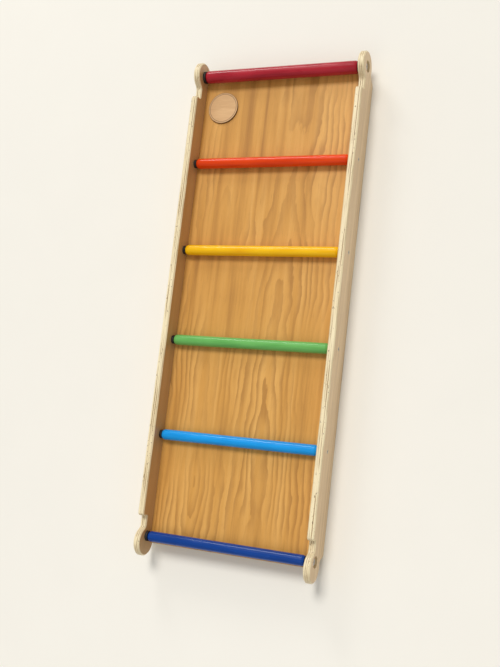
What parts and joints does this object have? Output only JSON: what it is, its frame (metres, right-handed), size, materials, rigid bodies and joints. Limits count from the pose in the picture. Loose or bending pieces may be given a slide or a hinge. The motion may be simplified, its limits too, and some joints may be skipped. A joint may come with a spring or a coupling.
{
  "type": "climbing ramp",
  "caption": "Child's climbing ramp: plywood side rails with rounded necked ends, coloured dowel rungs over a grooved-in panel.",
  "frame": {"origin": "midway between the rails and the ends, on the plane of the rails' rear edges", "axes": "+X to the right, +Y up the ramp, +Z out of the climbing side"},
  "size_m": [0.488, 1.366, 0.1],
  "materials": {
    "birch_plywood": "clear satin varnish, plies showing on the edges",
    "panel_veneer": "honey-toned veneer, satin",
    "badge_wood": "bare light plywood with a darker cut edge",
    "bottom_rung_paint": "gloss paint over dowel",
    "second_rung_paint": "gloss paint over dowel",
    "third_rung_paint": "gloss paint over dowel",
    "fourth_rung_paint": "gloss paint over dowel",
    "fifth_rung_paint": "gloss paint over dowel",
    "top_rung_paint": "gloss paint over dowel",
    "black_rubber": "matte",
    "zinc_steel": "zinc plated"
  },
  "bodies": {
    "root": {"left_side_rail": "birch_plywood", "right_side_rail": "birch_plywood", "slide_panel": "panel_veneer", "round_badge": "badge_wood", "bottom_rung": "bottom_rung_paint", "left_bottom_spacer": "black_rubber", "right_bottom_spacer": "black_rubber", "second_rung": "second_rung_paint", "left_second_spacer": "black_rubber", "right_second_spacer": "black_rubber", "third_rung": "third_rung_paint", "left_third_spacer": "black_rubber", "right_third_spacer": "black_rubber", "fourth_rung": "fourth_rung_paint", "left_fourth_spacer": "black_rubber", "right_fourth_spacer": "black_rubber", "fifth_rung": "fifth_rung_paint", "left_fifth_spacer": "black_rubber", "right_fifth_spacer": "black_rubber", "top_rung": "top_rung_paint", "left_top_spacer": "black_rubber", "right_top_spacer": "black_rubber", "left_rung_screws": "zinc_steel", "right_rung_screws": "zinc_steel", "left_end_bolts": "zinc_steel", "right_end_bolts": "zinc_steel", "left_threaded_inserts": "zinc_steel", "right_threaded_inserts": "zinc_steel"}
  },
  "joints": []
}
